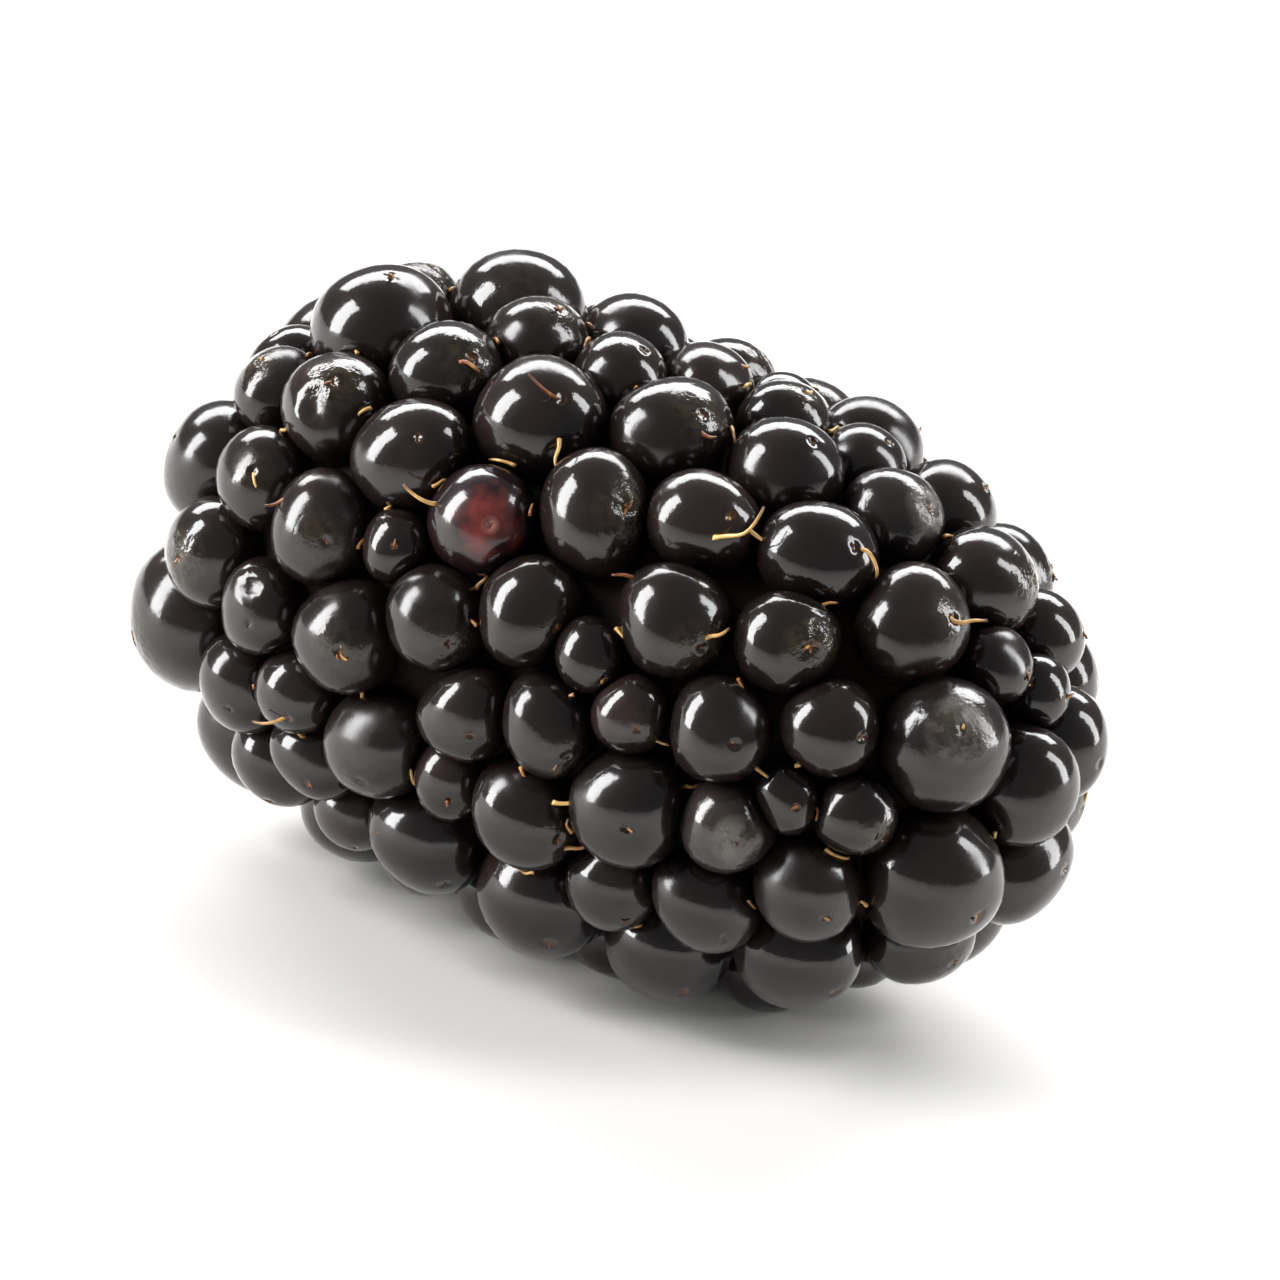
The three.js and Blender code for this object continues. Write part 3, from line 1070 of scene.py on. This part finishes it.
def drupelet_skin(name, dark, light, gloss, grain, bloomy):
    """A drupelet's skin, with clear lights, a broad faint sheen, fine pores and creases where crumpled."""
    made, tree, skin = new_material(name)
    grains = object_noise(tree, SKIN_GRAIN, 4, 0.6)
    smears = remap(tree, object_noise(tree, SKIN_SMEARS, 4, 0.6), 0.38, 0.60, 0.15, 1)
    dulled = times(tree, smears, remap(tree, trait(tree, "crown"), 0.80, 0.95, 0, bloomy))
    tree.links.new(skin_colour(tree, grains, dulled, dark, light), skin.inputs["Base Color"])
    tree.links.new(skin_roughness(tree, grains, dulled, gloss), skin.inputs["Roughness"])
    skin.inputs["Coat Weight"].default_value = 0.14
    skin.inputs["Coat Roughness"].default_value = 0.35
    pores = times(tree, plus(tree, grains, object_noise(tree, SKIN_PORES, 2)), grain)
    creases = times(tree, object_noise(tree, SKIN_CREASES, 3, 0.55), trait(tree, "crumple"))
    add_bump(tree, skin, plus(tree, pores, times(tree, creases, 3.0)), 1.0, 0.05)
    return made


def ripening_skin():
    """Skin that is still red round its crown and nearly black at its sides."""
    made, tree, skin = new_material("ripening_skin")
    blotches = object_noise(tree, RED_BLOTCHES, 4, 0.6)
    crown = remap(tree, trait(tree, "crown"), 0.45, 1.0, -0.32, 0.30)
    redness = remap(tree, plus(tree, blotches, crown), 0.45, 0.95, 0, 1)
    red = blend(tree, redness, RED_SHADE, RIPENING_RED)
    scar = remap(tree, trait(tree, "crown"), cos_of(11), cos_of(4), 0, 0.8)
    tree.links.new(blend(tree, scar, red, RED_SCAR), skin.inputs["Base Color"])
    skin.inputs["Roughness"].default_value = 0.10
    skin.inputs["Coat Weight"].default_value = 0.25
    skin.inputs["Coat Roughness"].default_value = 0.35
    add_bump(tree, skin, object_noise(tree, SKIN_GRAIN, 4, 0.6), 0.15, 0.05)
    return made


def core_flesh_with_gap_shade():
    """Dark juicy flesh that hardly shines, painted nearly black as the shade in the gaps between the
    drupelets.
    """
    made, tree, skin = new_material("core_flesh_with_gap_shade")
    patches = remap(tree, object_noise(tree, CORE_PATCHES, 3), 0.35, 0.7, 0, 1)
    tree.links.new(blend(tree, patches, CORE_DARK_PAINTED_SHADE, CORE_LIGHT_PAINTED_SHADE), skin.inputs["Base Color"])
    skin.inputs["Roughness"].default_value = 0.6
    skin.inputs["Specular IOR Level"].default_value = 0.08
    add_bump(tree, skin, object_noise(tree, CORE_GRAIN, 4), 0.5, 0.1)
    return made


def plug_flesh():
    """Pale fibrous flesh, browned and darkened by painted shade in the dish, and stained by juice at the
    rim.
    """
    made, tree, skin = new_material("plug_flesh")
    fibres = remap(tree, object_noise(tree, PLUG_FIBRES, 5, 0.7), 0.3, 0.7, 0, 1)
    pale = blend(tree, fibres, PLUG_FIBRE_DARK, PLUG_FIBRE_PALE)
    blotches = remap(tree, object_noise(tree, PLUG_BLOTCHES, 3), 0.3, 0.7, 0, 1)
    # Painted shade and browning: the dish grows browner and darker towards its middle, to deepen its hollow.
    browned_and_shaded = remap(tree, plus(tree, trait(tree, "dish"), blotches), 0.65, 1.5, 0, 0.85)
    flesh = blend(tree, browned_and_shaded, pale, DISH_BROWN_AND_SHADE)
    stained = remap(tree, plus(tree, trait(tree, "rim"), blotches), 0.80, 1.45, 0, 1)
    tree.links.new(blend(tree, stained, flesh, JUICE_STAIN), skin.inputs["Base Color"])
    skin.inputs["Roughness"].default_value = 0.55
    skin.inputs["Subsurface Weight"].default_value = 0.1
    add_bump(tree, skin, fibres, 0.8, 0.15)
    return made


def dried_style():
    """Brown to straw, mottled, and darker at the dried end."""
    made, tree, skin = new_material("dried_style")
    mottle = remap(tree, object_noise(tree, STYLE_MOTTLE, 3), 0.35, 0.65, -0.35, 0.25)
    straw = blend(tree, plus(tree, trait(tree, "tone"), mottle), STYLE_BROWN, STYLE_STRAW)
    dried = remap(tree, trait(tree, "along"), 0.7, 1, 0, 1)
    tree.links.new(blend(tree, dried, straw, STYLE_END), skin.inputs["Base Color"])
    skin.inputs["Roughness"].default_value = 0.30
    return made


def dress(piece, made):
    """Gives a piece its material, and its place in the part."""
    piece.data.materials.clear()
    piece.data.materials.append(made)
    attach(piece, "root")
    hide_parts("berry")


# =============================== Building the berry ===============================

looks = grow_skins()
dress(join(looks["ripe"], "ripe_drupelets"), drupelet_skin("ripe_skin", **RIPE_SKIN))
dress(join(looks["dull"], "dull_drupelets"), drupelet_skin("dull_skin", **DULL_SKIN))
dress(join(looks["red"], "ripening_drupelet"), ripening_skin())
dress(model_core(), core_flesh_with_gap_shade())
dress(model_plug(), plug_flesh())
dress(grow_styles(), dried_style())


# =============================== Floor and light ===============================

SOFTBOX_DISTANCE = 0.5
SKY_COLOUR = (0.95, 0.98, 1.0, 1)
SKY_STRENGTH = 0.21
FLOOR_SIZE = 3
# The floor's colour is painted brighter round the fruit, as a pool of light, and dimmer further off.
FLOOR_IN_PAINTED_LIGHT = (0.74, 0.73, 0.71, 1)
FLOOR_PAST_PAINTED_LIGHT = (0.46, 0.455, 0.445, 1)
PAINTED_LIGHT_SPOT = (-0.03, 0.06, 0)
PAINTED_LIGHT_REACH = (0.09, 0.22)  # distances from that spot at which the painted pool of light on the floor begins to dim and is dimmest


def stand_softbox(name, seen, along, length, width, brightness):
    """A softbox, its place and length given right, up and towards the camera."""
    away = (view_turn @ Vector(seen)).normalized()
    run = view_turn @ Vector(along)
    run = (run - away * run.dot(away)).normalized()
    turn = Matrix((run.cross(away), run, away)).transposed()
    bpy.ops.object.light_add(type="AREA", location=AIM + away * SOFTBOX_DISTANCE, rotation=turn.to_euler())
    light = bpy.context.object
    light.name = name
    light.data.shape = "RECTANGLE"
    light.data.size = width
    light.data.size_y = length
    light.data.energy = brightness * math.pi * length * width


def light_sky():
    world = bpy.data.worlds.new("studio")
    bpy.context.scene.world = world
    world.use_nodes = True
    background = world.node_tree.nodes["Background"]
    background.inputs["Color"].default_value = SKY_COLOUR
    background.inputs["Strength"].default_value = SKY_STRENGTH


def lay_floor():
    """A plain pale floor with a painted pool of light round the fruit: its colour is a little dimmer away
    from it.
    """
    bpy.ops.mesh.primitive_plane_add(size=FLOOR_SIZE, location=(0, 0, 0))
    floor = bpy.context.object
    floor.name = "floor"
    made, tree, skin = new_material("pale_floor")
    place = add(tree, "ShaderNodeTexCoord")
    from_spot = add(tree, "ShaderNodeVectorMath", Vector=place.outputs["Object"])
    from_spot.operation = "DISTANCE"
    from_spot.inputs[1].default_value = PAINTED_LIGHT_SPOT
    painted_dimness = remap(tree, from_spot.outputs["Value"], *PAINTED_LIGHT_REACH, 0, 1)
    tree.links.new(blend(tree, painted_dimness, FLOOR_IN_PAINTED_LIGHT, FLOOR_PAST_PAINTED_LIGHT), skin.inputs["Base Color"])
    skin.inputs["Roughness"].default_value = 0.7
    floor.data.materials.append(made)
    return floor


stand_softbox("key_light", (-0.85, 0.44, 0.30), (0.50, 0.84, 0.20), 0.47, 0.20, 19)
stand_softbox("right_strip", (0.95, 0.22, 0.06), (-0.18, 0.84, 0.51), 0.66, 0.14, 12)
stand_softbox("overhead_window", (0.05, 0.91, -0.41), (1, -0.12, 0), 0.78, 0.20, 12)
light_sky()
floor = lay_floor()
bpy.context.scene.view_settings.view_transform = "Standard"
